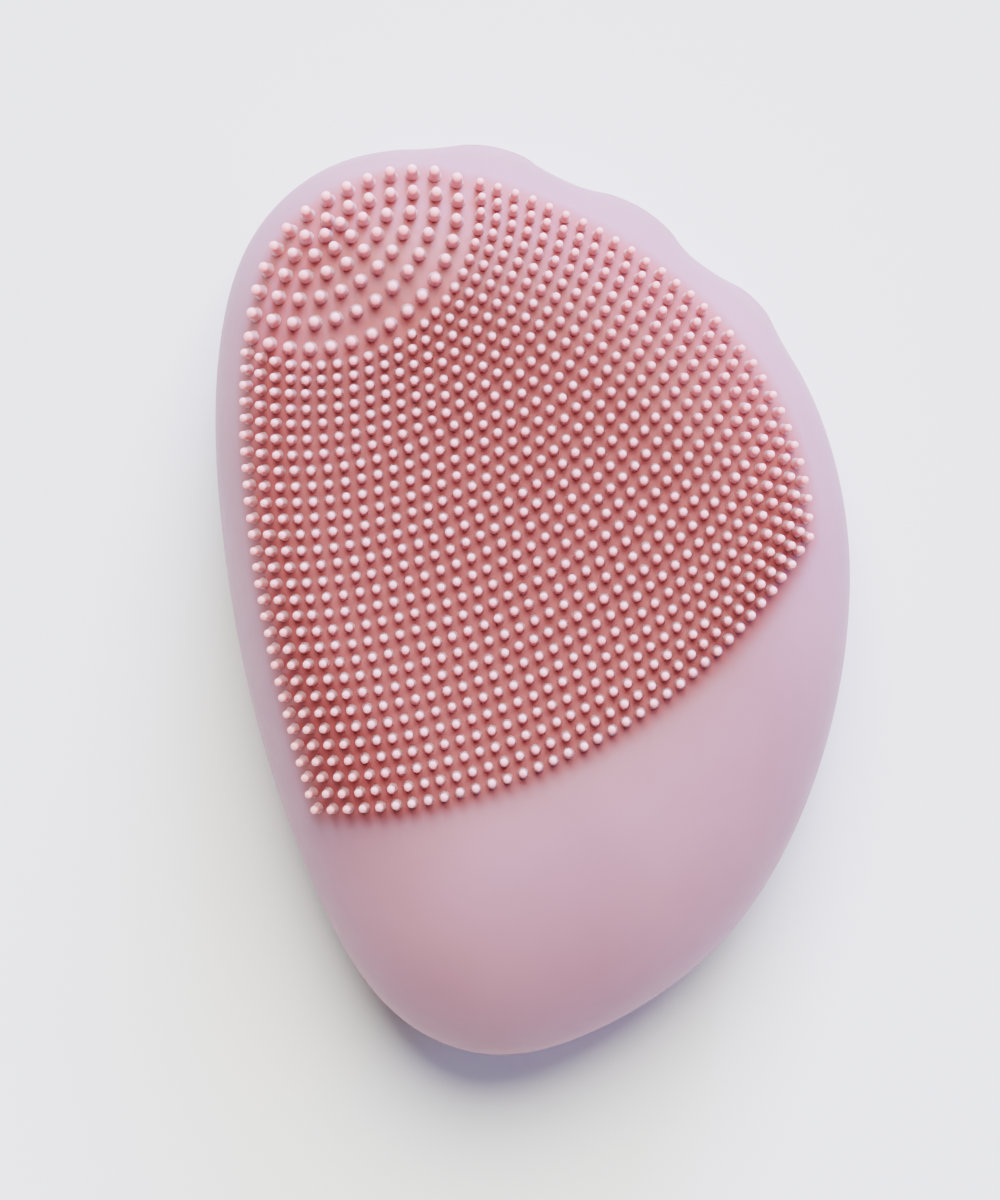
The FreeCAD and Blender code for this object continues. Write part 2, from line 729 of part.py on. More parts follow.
def build_motor():
    can_inner = "motor_radius - can_wall"
    can = turned("motor_can", [
        (can_inner, 0), ("motor_radius", 0), ("motor_radius", "motor_length"),
        ("bearing_radius", "motor_length"), ("bearing_radius", "motor_length - can_wall"),
        (can_inner, "motor_length - can_wall"),
    ])
    on_motor_axis(can)

    boot = turned("motor_boot", tube_corners("motor_radius", "motor_radius + boot_wall", 0, "cradle_length + 2"))
    on_motor_axis(boot, "cradle_start - 1")

    cap = turned("motor_end_cap", [
        ("bearing_radius", -1.2), (3.5, -1.2), (3.5, 0), (can_inner, 0), (can_inner, 1.2),
        ("bearing_radius", 1.2),
    ])
    on_motor_axis(cap)

    bush = turned("bearing_master", tube_corners("shaft_radius + running_gap", "bearing_radius", 0, 1.8),
                  listed=False)
    doc.recompute()
    bush.Placement = FreeCAD.Placement(V(0, 0, 0), FreeCAD.Rotation(*ALONG_Y))
    across = size("motor_across")
    height = size("motor_height")
    ends = [size("motor_start - 0.9"), size("motor_start + motor_length - 1.0")]
    copies("motor_bearings", bush, [(across, start, height) for start in ends])

    magnet = new_body("motor_magnets")
    sketch = new_sketch(magnet, "magnet_ring")
    circle(sketch, can_inner)
    circle(sketch, "rotor_radius + 0.3")
    pad(magnet, sketch, "rotor_length + 2")
    gap = new_sketch(magnet, "magnet_gap")
    rectangle(gap, "3.2", "4 * motor_radius")
    pocket(magnet, gap, "rotor_length + 3")
    on_motor_axis(magnet, "motor_start + 3")

    shaft = turned("motor_shaft", [
        (0, 0), ("shaft_radius", 0), ("shaft_radius", "shaft_length"), (0, "shaft_length"),
    ])
    on_motor_axis(shaft, "motor_start - 1")

    armature = new_body("motor_armature")
    hub = new_sketch(armature, "armature_hub")
    circle(hub, "1.7")
    pad(armature, hub, "rotor_length")
    pole = new_sketch(armature, "armature_pole")
    outline(pole, [
        (-0.6, 1.2), (0.6, 1.2), (0.6, 3.3), (2.6, 2.7), (2.9, "rotor_radius * 0.72"),
        (1.2, "rotor_radius * 0.955"), (-1.2, "rotor_radius * 0.955"), (-2.9, "rotor_radius * 0.72"),
        (-2.6, 2.7), (-0.6, 3.3),
    ])
    tooth = pad(armature, pole, "rotor_length")
    doc.recompute()
    ring = armature.newObject("PartDesign::PolarPattern", "armature_poles")
    ring.Originals = [tooth]
    ring.Axis = (hub, ["N_Axis"])
    ring.Angle = 360
    armature.Tip = ring
    ring.Occurrences = 3
    bore = new_sketch(armature, "armature_bore")
    circle(bore, "shaft_radius")
    pocket(armature, bore, "rotor_length + 1")
    on_motor_axis(armature, "motor_start + 4")

    build_windings()

    commutator = turned("motor_commutator", tube_corners("shaft_radius", 1.6, 0, 2))
    on_motor_axis(commutator, "motor_start + 1.6")

    blade = block("brush_blade", 1.0, 1.6, 0.2, 0, 0, 0)
    doc.recompute()
    lift = 1.65
    brush_y = size("motor_start + 2.0")
    copies("motor_brushes", blade, [(across, brush_y, height + lift), (across, brush_y, height - lift - 0.2)])

    weight = new_body("eccentric_weight")
    half = new_sketch(weight, "weight_disc")
    circle(half, "weight_radius")
    pad(weight, half, "weight_length")
    away = new_sketch(weight, "weight_cutaway")
    outline(away, [
        ("-weight_radius - 1", "-weight_radius - 1"), ("weight_radius + 1", "-weight_radius - 1"),
        ("weight_radius + 1", 0), (2, 0), (2, -2), (-2, -2), (-2, 0), ("-weight_radius - 1", 0),
    ])
    pocket(weight, away, "weight_length + 1")
    hole = new_sketch(weight, "weight_bore")
    circle(hole, "shaft_radius")
    pocket(weight, hole, "weight_length + 1")
    on_motor_axis(weight, "motor_start + motor_length + 2")


def build_windings():
    """Three wire coils, one round each armature pole."""
    coil = new_body("coil_master", listed=False)
    sketch = new_sketch(coil, "coil_outer", "XZ_Plane")
    rectangle(sketch, "3.2", "rotor_length + 1.4")
    inner = new_sketch(coil, "coil_inner", "XZ_Plane", lift="-1")
    rectangle(inner, "1.3", "rotor_length + 0.1")
    pad(coil, sketch, 1.0)
    feature = coil.newObject("PartDesign::Pocket", "coil_window")
    feature.Profile = inner
    feature.Type = "ThroughAll"
    feature.Midplane = True
    doc.recompute()
    group = []
    for index in range(3):
        shape = coil.Shape.copy()
        box = shape.BoundBox
        shape.translate(V(0, 1.85 - box.YMin, 0))
        shape.rotate(V(0, 0, 0), Z_AXIS, 120 * index)
        group.append(shape)
    item = freeform("motor_windings", Part.makeCompound(group))
    name_part(item, "motor_windings")
    on_motor_axis(item, "motor_start + 4 + rotor_length / 2")


# ---------------------------------------------------------------- battery, board and wiring

def build_electronics():
    cell = new_body("battery_cell")
    sketch = new_sketch(cell, "cell_outline")
    rectangle(sketch, "cell_width", "cell_length", 0, "board_centre")
    pad(cell, sketch, "cell_thickness")
    round_edges(cell, "cell_corner", lambda edge: not upright(edge) and edge.Length > size("cell_width") + 1)
    place(cell, 0, 0, "plate_base + plate_thickness + pad_thickness")

    foam = new_body("battery_pad")
    sketch = new_sketch(foam, "pad_outline")
    rectangle(sketch, "cell_width - 4", "cell_length - 4", 0, "board_centre")
    pad(foam, sketch, "pad_thickness")
    place(foam, 0, 0, "plate_base + plate_thickness")

    guard = new_body("battery_board")
    sketch = new_sketch(guard, "guard_outline")
    rectangle(sketch, "20", "1.0", 0, "board_centre + cell_length / 2 + 0.55")
    pad(guard, sketch, "4")
    place(guard, 0, 0, "plate_base + plate_thickness + 1.2")

    board = new_body("circuit_board")
    sketch = new_sketch(board, "board_outline")
    rectangle(sketch, "board_width", "board_length", 0, "board_centre")
    pad(board, sketch, "board_thickness")
    round_edges(board, "2.0", upright)
    place(board, 0, 0, "board_base")

    chips = [
        block("controller_chip", 5, 5, 1, -7.5, -12, "board_base - 1"),
        block("charger_chip", 3, 3, 1, 7.5, -18, "board_base - 1"),
        block("driver_chip", 3, 3, 1, 7.5, -6, "board_base - 1"),
        block("storage_coil", 4, 4, 1.8, -7.5, -20, "board_base - 1.8"),
    ]
    doc.recompute()
    group = Part.makeCompound([chip.Shape for chip in chips])
    name_part(freeform("circuit_chips", group), "circuit_chips")

    name_part(block("indicator_led", 1.6, 1.2, 0.7, 0, "pipe_centre", "board_base - 0.7"), "indicator_led")
    pipe = turned("light_pipe", [(0, "panel_face"), ("pipe_radius", "panel_face"), ("pipe_radius", 8), (0, 8)])
    place(pipe, 0, "pipe_centre", 0)


def wire_path(points, bend):
    """Straight runs joined by tangent arcs of one bend radius."""
    edges = []
    start = points[0]
    for before, corner, after in zip(points, points[1:], points[2:]):
        back = (before - corner).normalize()
        ahead = (after - corner).normalize()
        half_turn = (math.pi - back.getAngle(ahead)) / 2
        first = corner + back * bend * math.tan(half_turn)
        last = corner + ahead * bend * math.tan(half_turn)
        middle = corner + (back + ahead).normalize() * bend * (1 / math.cos(half_turn) - 1)
        edges.append(Part.LineSegment(start, first).toShape())
        edges.append(Part.Arc(first, middle, last).toShape())
        start = last
    edges.append(Part.LineSegment(start, points[-1]).toShape())
    return Part.Wire(edges)


def wire_pair(label, spots, route):
    """Two round wires side by side along one route, given as (y, z) corners."""
    group = []
    for x in spots:
        points = [V(x, y, z) for y, z in route]
        ring = Part.Circle(points[0], points[1] - points[0], size("wire_radius"))
        path = wire_path(points, size("wire_bend"))
        group.append(path.makePipeShell([Part.Wire(ring.toShape())], True, False))
    name_part(freeform(label, Part.makeCompound(group)), label)


def build_wiring():
    edge = size("board_centre + board_length / 2")
    low_edge = size("board_centre - board_length / 2")
    level = size("board_base + board_thickness / 2")
    drop = size("slot_start + 0.6")
    down = [(drop, 14.8), (drop, level), (edge, level)]
    wire_pair("battery_leads", (-0.6, 1.2), [(edge + 1.05, 14.8)] + down)
    wire_pair("motor_leads", (-7.6, -4.0), [(size("motor_start - 1.2"), 14.8)] + down)
    back = size("socket_mouth + socket_length") + 2
    start = size("socket_height")
    wire_pair("socket_leads", (-8.4, -6.4), [(back, start), (-33.0, start), (-31.5, level), (low_edge, level)])


# ---------------------------------------------------------------- buttons and switches

def build_button(name, radius):
    """Hard cap, retaining flange and stem, with the switch plunger it presses."""
    shoulder = "panel_face + panel_thickness"
    cap = turned(f"{name}_button", [
        (0, "cap_face"), (f"{radius} - 0.4", "cap_face"), (radius, "cap_face + 0.25"),
        (radius, shoulder), (f"{radius} + flange_step", shoulder),
        (f"{radius} + flange_step", f"{shoulder} + flange_thickness"),
        ("stem_radius", f"{shoulder} + flange_thickness"), ("stem_radius", "stem_top"), (0, "stem_top"),
    ])
    place(cap, 0, f"{name}_centre", 0)
    plunger = turned(f"{name}_plunger", [
        (0, "stem_top"), ("plunger_radius", "stem_top"),
        ("plunger_radius", "stem_top + plunger_length"), (0, "stem_top + plunger_length"),
    ])
    place(plunger, 0, f"{name}_centre", 0)


def build_buttons():
    build_button("power", "power_radius")
    build_button("plus", "step_radius")
    build_button("minus", "step_radius")

    base = block("switch_block", "switch_side", "switch_side", "switch_depth", 0, 0, "board_base - switch_depth")
    well_floor = "board_base - switch_depth - 0.1"
    well_depth = f"stem_top + plunger_length + button_travel + 0.1 - ({well_floor})"
    well = cylinder("switch_well", "plunger_radius + 0.1", well_depth, 0, 0, well_floor)
    master = cut("switch_master", base, [well])
    centres = [size(f"{name}_centre") for name in ("power", "plus", "minus")]
    copies("switch_bases", master, [(0, y, 0) for y in centres])

    shoulder = "panel_face + panel_thickness"
    rim_top = "back_skin_wall + bond_gap - panel_seal_thickness"
    plate = stadium("panel_plate", "panel_width", "panel_length", f"{rim_top} - panel_face", "panel_face")
    hollow = stadium("panel_hollow", "panel_width - 2 * panel_rim", "panel_length - 2 * panel_rim", 4, shoulder)
    holes = [
        cylinder("power_opening", "power_radius + cap_gap", 4, 0, "power_centre", 0),
        cylinder("plus_opening", "step_radius + cap_gap", 4, 0, "plus_centre", 0),
        cylinder("minus_opening", "step_radius + cap_gap", 4, 0, "minus_centre", 0),
        cylinder("pipe_opening", "pipe_radius + bond_gap", 4, 0, "pipe_centre", 0),
    ]
    name_part(cut("control_panel", plate, [hollow] + holes), "control_panel")

    ring = stadium("seal_blank", "panel_width", "panel_length", "panel_seal_thickness", rim_top)
    space = stadium("seal_space", "panel_width - 2 * panel_rim", "panel_length - 2 * panel_rim", 4, 1)
    name_part(cut("panel_seal", ring, [space]), "panel_seal")


# ---------------------------------------------------------------- charging socket

def build_socket():
    barrel = turned("charge_socket", [
        ("socket_bore + 0.4", 0), ("socket_radius", 0), ("socket_radius", "socket_flange_start"),
        ("socket_flange", "socket_flange_start"), ("socket_flange", "socket_flange_start + 1"),
        ("socket_radius", "socket_flange_start + 1"), ("socket_radius", "socket_length"),
        (0, "socket_length"), (0, "socket_bore_depth"), ("socket_bore", "socket_bore_depth"),
        ("socket_bore", 0.4),
    ])
    place(barrel, "socket_across", "socket_mouth", "socket_height", ALONG_Y)

    seal = turned("socket_seal", tube_corners("socket_radius", "socket_flange - 0.2",
                                              "socket_flange_start - socket_seal_thickness", "socket_flange_start"))
    place(seal, "socket_across", "socket_mouth", "socket_height", ALONG_Y)

    tail = cylinder("socket_tail", 0.4, 2, 0, "socket_mouth + socket_length", "socket_height", ALONG_Y)
    across = size("socket_across")
    copies("socket_contacts", tail, [(across - 1, 0, 0), (across + 1, 0, 0)])


def check_and_write():
    doc.recompute()
    for item in doc.Objects:
        if "Invalid" in item.State or "Error" in item.State:
            raise SystemExit(f"{item.Label} did not build: {item.State}")
    os.makedirs("parts", exist_ok=True)
    for item in PARTS:
        if item.Shape.isNull() or not item.Shape.isValid() or not item.Shape.Solids:
            raise SystemExit(f"{item.Label} has no sound shape")
        item.Shape.exportStep(f"parts/{item.Label}.step")
        box = item.Shape.optimalBoundingBox(False)
        print(f"{item.Label:18s} solids {len(item.Shape.Solids):4d}  volume {item.Shape.Volume:9.1f}  "
              f"x {box.XMin:7.2f} {box.XMax:7.2f}  y {box.YMin:7.2f} {box.YMax:7.2f}  "
              f"z {box.ZMin:6.2f} {box.ZMax:6.2f}")


build_skin()
build_housing()
bristles("fine_bristles", FINE_LEFT, FINE_RIGHT, FINE_ROWS, FINE_SAG, "fine_pitch", "fine_root", "fine_tip")
bristles("thick_bristles", THICK_LEFT, THICK_RIGHT, THICK_ROWS, THICK_SAG, "thick_pitch", "thick_root",
         "thick_tip")
build_screws()
build_frame()
build_motor()
build_electronics()
build_wiring()
build_buttons()
build_socket()
check_and_write()
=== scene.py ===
import json
import math

import bpy
import numpy as np
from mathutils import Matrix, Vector
from mathutils.bvhtree import BVHTree
from mathutils.kdtree import KDTree


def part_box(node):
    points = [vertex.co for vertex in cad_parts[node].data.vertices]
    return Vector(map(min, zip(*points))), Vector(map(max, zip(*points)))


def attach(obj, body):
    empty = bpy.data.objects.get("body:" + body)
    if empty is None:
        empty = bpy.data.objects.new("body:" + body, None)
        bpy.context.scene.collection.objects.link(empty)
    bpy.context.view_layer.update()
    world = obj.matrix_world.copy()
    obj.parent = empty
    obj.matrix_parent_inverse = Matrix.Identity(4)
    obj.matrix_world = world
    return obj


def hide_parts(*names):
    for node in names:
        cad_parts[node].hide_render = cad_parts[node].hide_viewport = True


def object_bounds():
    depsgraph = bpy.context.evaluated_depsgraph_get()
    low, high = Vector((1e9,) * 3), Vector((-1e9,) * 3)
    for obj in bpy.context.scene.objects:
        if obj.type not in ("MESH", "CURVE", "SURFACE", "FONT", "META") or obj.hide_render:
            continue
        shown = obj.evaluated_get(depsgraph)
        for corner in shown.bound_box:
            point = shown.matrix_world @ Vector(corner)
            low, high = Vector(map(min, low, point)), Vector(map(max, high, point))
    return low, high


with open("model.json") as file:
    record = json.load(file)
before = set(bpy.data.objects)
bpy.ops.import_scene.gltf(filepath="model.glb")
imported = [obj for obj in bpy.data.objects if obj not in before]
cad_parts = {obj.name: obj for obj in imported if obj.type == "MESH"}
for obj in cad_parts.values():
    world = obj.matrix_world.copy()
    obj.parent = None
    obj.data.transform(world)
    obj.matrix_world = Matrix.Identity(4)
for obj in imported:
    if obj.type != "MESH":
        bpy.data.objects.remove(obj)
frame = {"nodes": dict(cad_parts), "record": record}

# Looks of the facial cleansing brush. Metres, in the CAD frame: the brush lies on its back,
# +X across the face, +Y toward the head, +Z out of the bristle face.

MM = 0.001
CAD_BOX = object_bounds()
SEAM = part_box("front_skin")[0].z  # height where the front and rear skins meet
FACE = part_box("front_skin")[1].z  # highest point of the front skin
random = np.random.default_rng(7)


# ---------------------------------------------------------------- mesh helpers

WELD = 0.002 * MM  # CAD vertices nearer than this are one point


def make_object(name, vertices, faces, body="body"):
    """Smooth-shaded mesh object that rides on a CAD body."""
    mesh = bpy.data.meshes.new(name)
    mesh.from_pydata([tuple(v) for v in vertices], [], [tuple(f) for f in faces])
    mesh.validate()
    mesh.update()
    mesh.polygons.foreach_set("use_smooth", [True] * len(mesh.polygons))
    item = bpy.data.objects.new(name, mesh)
    bpy.context.scene.collection.objects.link(item)
    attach(item, body)
    return item


def set_attribute(item, name, values):
    """One number for each vertex, for the materials to read."""
    layer = item.data.attributes.new(name, "FLOAT", "POINT")
    layer.data.foreach_set("value", np.asarray(values, dtype=np.float32))


def node_mesh(node):
    """Vertices and triangles of a CAD node, with coincident vertices joined."""
    mesh = frame["nodes"][node].data
    points = np.zeros(len(mesh.vertices) * 3)
    mesh.vertices.foreach_get("co", points)
    points = points.reshape(-1, 3)
    mesh.calc_loop_triangles()
    triangles = np.zeros(len(mesh.loop_triangles) * 3, dtype=np.int64)
    mesh.loop_triangles.foreach_get("vertices", triangles)
    keys = np.round(points / WELD).astype(np.int64)
    _, index, back = np.unique(keys, axis=0, return_index=True, return_inverse=True)
    return points[index], back.reshape(-1)[triangles].reshape(-1, 3)


def islands(count, triangles):
    """Island number of each vertex."""
    label = np.arange(count)
    while True:
        lowest = label[triangles].min(axis=1)
        fresh = label.copy()
        for corner in range(3):
            np.minimum.at(fresh, triangles[:, corner], lowest)
        fresh = fresh[fresh]
        if np.array_equal(fresh, label):
            return np.unique(label, return_inverse=True)[1]
        label = fresh


# ---------------------------------------------------------------- bristles

BRISTLE_SIDES = 12
ROOT_DEPTH = 0.6 * MM  # length of each root inside the skin
STEM_SHARE = 0.84  # stem's radius over the CAD root's radius
FINE_TIP_SHARE = 0.84  # tip's radius over the stem's
THICK_TIP_SHARE = 0.87
FLARE = 1.25  # swelling of the stem where it meets the skin
NECK = 1.04  # and a little over it
NECK_RISE = 0.25 * MM
DOME_ANGLES = (0, 30, 52, 72)  # degrees
END_SLICE = 0.02 * MM  # vertices this near an end belong to it
LEAN = 0.012  # spread of each bristle's own lean, as a slope
SWELL = 0.015  # spread of its thickness


def bristle_frames(node):
    """Root, direction, length and stem radius of every bristle in a CAD node."""
    points, triangles = node_mesh(node)
    label = islands(len(points), triangles)
    order = np.argsort(label, kind="stable")
    groups = np.split(order, np.flatnonzero(np.diff(label[order])) + 1)
    found = []
    for group in groups:
        cloud = points[group]
        centre = cloud.mean(axis=0)
        axis = np.linalg.svd(cloud - centre)[2][0]
        if axis[2] < 0:
            axis = -axis
        along = (cloud - centre) @ axis
        foot = cloud[along < along.min() + END_SLICE]
        root = foot.mean(axis=0)
        tip = cloud[along > along.max() - END_SLICE].mean(axis=0)
        axis = tip - root
        length = np.linalg.norm(axis)
        axis /= length
        root_radius = np.linalg.norm(foot - root, axis=1).max()
        found.append((root, axis, length, root_radius * STEM_SHARE))
    return found


def bristle_profile(length, root_radius, tip_radius):
    """(height, radius) pairs from the foot inside the skin to just under the apex."""
    shoulder = length - tip_radius
    middle = (root_radius + tip_radius) / 2
    pairs = [
        (0, root_radius * FLARE),
        (ROOT_DEPTH, root_radius * FLARE),
        (ROOT_DEPTH + NECK_RISE, root_radius * NECK),
        ((ROOT_DEPTH + shoulder) / 2, middle),
    ]
    for angle in DOME_ANGLES:
        turn = math.radians(angle)
        pairs.append((shoulder + tip_radius * math.sin(turn), tip_radius * math.cos(turn)))
    return pairs


def build_bristles(name, node, tip_share):
    """Every bristle of a CAD node as a tapered, domed, slightly uneven stem.

    Gives the piece and the points where its bristles meet the skin.
    """
    vertices = []
    faces = []
    heights = []
    shades = []
    roots = []
    for root, axis, length, root_radius in bristle_frames(node):
        roots.append(root + axis * ROOT_DEPTH)
        lean = random.normal(0, LEAN, 3)
        axis = axis + lean - axis * (lean @ axis)
        axis /= np.linalg.norm(axis)
        side = np.cross(axis, (0.0, 1.0, 0.0))
        side /= np.linalg.norm(side)
        other = np.cross(axis, side)
        swell = 1 + random.normal(0, SWELL)
        shade = random.uniform(0, 1)
        profile = bristle_profile(length, root_radius * swell, root_radius * tip_share * swell)
        first = len(vertices)
        for height, radius in profile:
            for step in range(BRISTLE_SIDES):
                turn = 2 * math.pi * step / BRISTLE_SIDES
                spot = root + axis * height + (side * math.cos(turn) + other * math.sin(turn)) * radius
                vertices.append(spot)
                heights.append(max(0.0, (height - ROOT_DEPTH) / (length - ROOT_DEPTH)))
                shades.append(shade)
        apex = len(vertices)
        vertices.append(root + axis * length)
        heights.append(1.0)
        shades.append(shade)
        rings = len(profile)
        for ring in range(rings - 1):
            for step in range(BRISTLE_SIDES):
                a = first + ring * BRISTLE_SIDES + step
                b = first + ring * BRISTLE_SIDES + (step + 1) % BRISTLE_SIDES
                faces.append((a, a + BRISTLE_SIDES, b + BRISTLE_SIDES, b))
        last = first + (rings - 1) * BRISTLE_SIDES
        for step in range(BRISTLE_SIDES):
            faces.append((last + step, apex, last + (step + 1) % BRISTLE_SIDES))
        faces.append(tuple(first + step for step in range(BRISTLE_SIDES)))
    item = make_object(name, vertices, faces)
    set_attribute(item, "height", heights)
    set_attribute(item, "shade", shades)
    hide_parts(node)
    return item, roots


# ---------------------------------------------------------------- front skin

SKIN_STEPS = 420  # points round each ring
SKIN_WALL = 1.9 * MM
SEAM_BEVEL = 0.18 * MM
SEAM_LIFT = 0.01 * MM  # the lowest ring is read this far over the seam
EDGE_RINGS = 26  # rings from the seam up round the edge
EDGE_TURN = 80  # degrees that they turn through
EDGE_INSET = 15 * MM  # how far in they come at a full quarter turn
FACE_RINGS = 34  # rings from there to the middle of the face
FACE_PULL = 0.9  # rays over the face aim inside it, at this share of the way out
RAY_START = 0.3  # metres from the aim, well outside the brush
SMOOTHING = 4  # passes
FIELD_RADIUS = 1.0  # millimetres of skin round a root that get the full painted shade
FIELD_FADE = 1.6


def surface_reader(node):
    """Function that gives the outermost point of a CAD node toward a target from an inner point."""
    points, triangles = node_mesh(node)
    tree = BVHTree.FromPolygons([Vector(p) for p in points], triangles.tolist())

    def read(centre, target):
        direction = (target - centre).normalized()
        hit = tree.ray_cast(centre + direction * RAY_START, -direction)[0]
        return hit if hit is not None else target

    return read


def smooth_rings(rings):
    """Even out the small facets of a grid that closes on itself along each ring."""
    for _ in range(SMOOTHING):
        around = (np.roll(rings, 1, axis=1) + np.roll(rings, -1, axis=1)) / 2
        rings = 0.5 * rings + 0.5 * around
        inner = rings.copy()
        inner[1:-1] = 0.5 * rings[1:-1] + 0.25 * (rings[:-2] + rings[2:])
        rings = inner
    return rings


def skin_rings():
    """Rings of points on the CAD front skin: up round its edge, then in over its face."""
    read = surface_reader("front_skin")
    centre = Vector((0, 0, SEAM + SEAM_LIFT))
    rise = FACE - SEAM
    edge = []
    for step in range(SKIN_STEPS):
        heading = 2 * math.pi * step / SKIN_STEPS
        outward = Vector((math.cos(heading), math.sin(heading), 0))
        edge.append((outward, (read(centre, centre + outward) - centre).length))
    rings = []
    for angle in np.linspace(0, EDGE_TURN, EDGE_RINGS):
        share = 1 - math.cos(math.radians(angle))
        lift = math.sqrt(max(0.0, 1 - (1 - share) ** 2))
        ring = []
        for outward, reach in edge:
            target = centre + outward * (reach - EDGE_INSET * share) + Vector((0, 0, rise * lift))
            ring.append(read(centre, target))
        rings.append(ring)
    edge_top = rings[-1]
    for share in np.linspace(0, 1, FACE_RINGS)[1:-1]:
        ring = []
        for spot in edge_top:
            height = spot.z + (FACE - spot.z) * share
            target = Vector((spot.x * (1 - share), spot.y * (1 - share), height))
            below = Vector((target.x * FACE_PULL, target.y * FACE_PULL, SEAM))
            ring.append(read(below, target + Vector((0, 0, MM))))
        rings.append(ring)
    return np.array([[tuple(p) for p in ring] for ring in rings])


def skin_mesh():
    """Vertices and faces of the outer surface, with a small bevel at the seam."""
    grid = smooth_rings(skin_rings())
    grid[0, :, 2] = SEAM
    lip = grid[0].copy()
    lip[:, :2] *= 1 - SEAM_BEVEL / np.linalg.norm(lip[:, :2], axis=1, keepdims=True)
    grid[0, :, 2] = SEAM + SEAM_BEVEL
    grid = np.concatenate([lip[None], grid])
    vertices = grid.reshape(-1, 3).tolist()
    apex = len(vertices)
    vertices.append((0, 0, FACE))
    last = (len(grid) - 1) * SKIN_STEPS
    faces = []
    for start in range(0, last, SKIN_STEPS):
        for step in range(SKIN_STEPS):
            a = start + step
            b = start + (step + 1) % SKIN_STEPS
            faces.append((a, b, b + SKIN_STEPS, a + SKIN_STEPS))
    for step in range(SKIN_STEPS):
        faces.append((last + step, last + (step + 1) % SKIN_STEPS, apex))
    return vertices, faces


def build_front_skin(roots):
    """Front skin as one fine smooth shell, marked where bristles stand on it for the painted shade among
    them.
    """
    vertices, faces = skin_mesh()
    item = make_object("front_skin_shell", vertices, faces)
    tree = KDTree(len(roots))
    for index, root in enumerate(roots):
        tree.insert(Vector(root), index)
    tree.balance()
    gaps = np.array([tree.find(Vector(v))[2] for v in vertices]) / MM
    set_attribute(item, "field", np.clip(1 - (gaps - FIELD_RADIUS) / FIELD_FADE, 0, 1))
    wall = item.modifiers.new("wall", "SOLIDIFY")
    wall.thickness = SKIN_WALL
    wall.offset = -1
    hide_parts("front_skin")
    return item


# ---------------------------------------------------------------- buttons on the back

BUTTON_SIDES = 96
EDGE_ROUND = 0.3 * MM
ROUND_ANGLES = (30, 60, 90)  # degrees
DISH_RINGS = 8
LEVEL_STEP = 0.01 * MM  # CAD vertices this near in height are on one level
SHARP = math.radians(35)  # edges that turn more than this stay crisp
MARK_RAISE = 0.08 * MM  # how far the symbols stand out of the cap
MARK_ROOT = 0.1 * MM  # and how deep they go into it
MARK_WIDTH = 0.5 * MM
BAR_LENGTH = 2.8 * MM
RING_RADIUS = 1.6 * MM
RING_GAP = 70  # degrees
RING_STEPS = 40
STROKE_LENGTH = 1.7 * MM  # upright stroke of the power symbol
STROKE_RISE = 1.35 * MM


def build_button(name, node, body, dish):
    """Button cap with rounded shoulders and a slight finger dish; stem and flange as in the CAD node."""
    points = node_mesh(node)[0]
    low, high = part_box(node)
    centre = (low + high) / 2
    reach = np.hypot(points[:, 0] - centre.x, points[:, 1] - centre.y)
    levels = np.unique(np.round(points[:, 2] / LEVEL_STEP).astype(int)) * LEVEL_STEP
    face, shoulder, flange = levels[0], levels[2], levels[3]
    stem = reach[points[:, 2] > high.z - LEVEL_STEP].max()
    cap = reach[points[:, 2] < shoulder - 10 * LEVEL_STEP].max()
    rim = reach.max()
    profile = []
    for share in np.linspace(0, 1, DISH_RINGS + 1)[1:]:
        hollow = dish * 0.5 * (1 + math.cos(math.pi * share))
        profile.append(((cap - EDGE_ROUND) * share, face + hollow))
    for angle in ROUND_ANGLES:
        turn = math.radians(angle)
        inset = EDGE_ROUND * (1 - math.sin(turn))
        profile.append((cap - inset, face + EDGE_ROUND * (1 - math.cos(turn))))
    profile += [(cap, shoulder), (rim, shoulder), (rim, flange), (stem, flange), (stem, high.z)]
    vertices = [(centre.x, centre.y, face + dish)]
    for radius, height in profile:
        for step in range(BUTTON_SIDES):
            turn = 2 * math.pi * step / BUTTON_SIDES
            across = centre.x + radius * math.cos(turn)
            along = centre.y + radius * math.sin(turn)
            vertices.append((across, along, height))
    faces = []
    for step in range(BUTTON_SIDES):
        after = (step + 1) % BUTTON_SIDES
        faces.append((0, 1 + after, 1 + step))
        for ring in range(len(profile) - 1):
            a = 1 + ring * BUTTON_SIDES + step
            b = 1 + ring * BUTTON_SIDES + after
            faces.append((a, b, b + BUTTON_SIDES, a + BUTTON_SIDES))
    last = 1 + (len(profile) - 1) * BUTTON_SIDES
    faces.append(tuple(last + step for step in range(BUTTON_SIDES)))
    item = make_object(name, vertices, faces, body)
    item.data.set_sharp_from_angle(angle=SHARP)
    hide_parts(node)
    return item


def bar_corners(width, length, middle=0.0):
    """Upright bar round a middle point on the Y axis."""
    side, low, high = width / 2, middle - length / 2, middle + length / 2
    return [(-side, low), (side, low), (side, high), (-side, high)]


def cross_corners(length, width):
    """Plus sign, one corner of it turned four times."""
    arm, side = length / 2, width / 2
    spots = [(arm, -side), (arm, side), (side, side)]
    corners = []
    for _ in range(4):
        corners += spots
        spots = [(-y, x) for x, y in spots]
    return corners


def arc_corners(radius, width, gap):
    """Open ring with a gap of so many degrees toward +Y."""
    shares = [step / RING_STEPS for step in range(RING_STEPS + 1)]
    headings = [math.radians(90 + gap / 2 + (360 - gap) * share) for share in shares]
    corners = []
    for reach, turns in ((radius + width / 2, headings), (radius - width / 2, headings[::-1])):
        corners += [(reach * math.cos(turn), reach * math.sin(turn)) for turn in turns]
    return corners


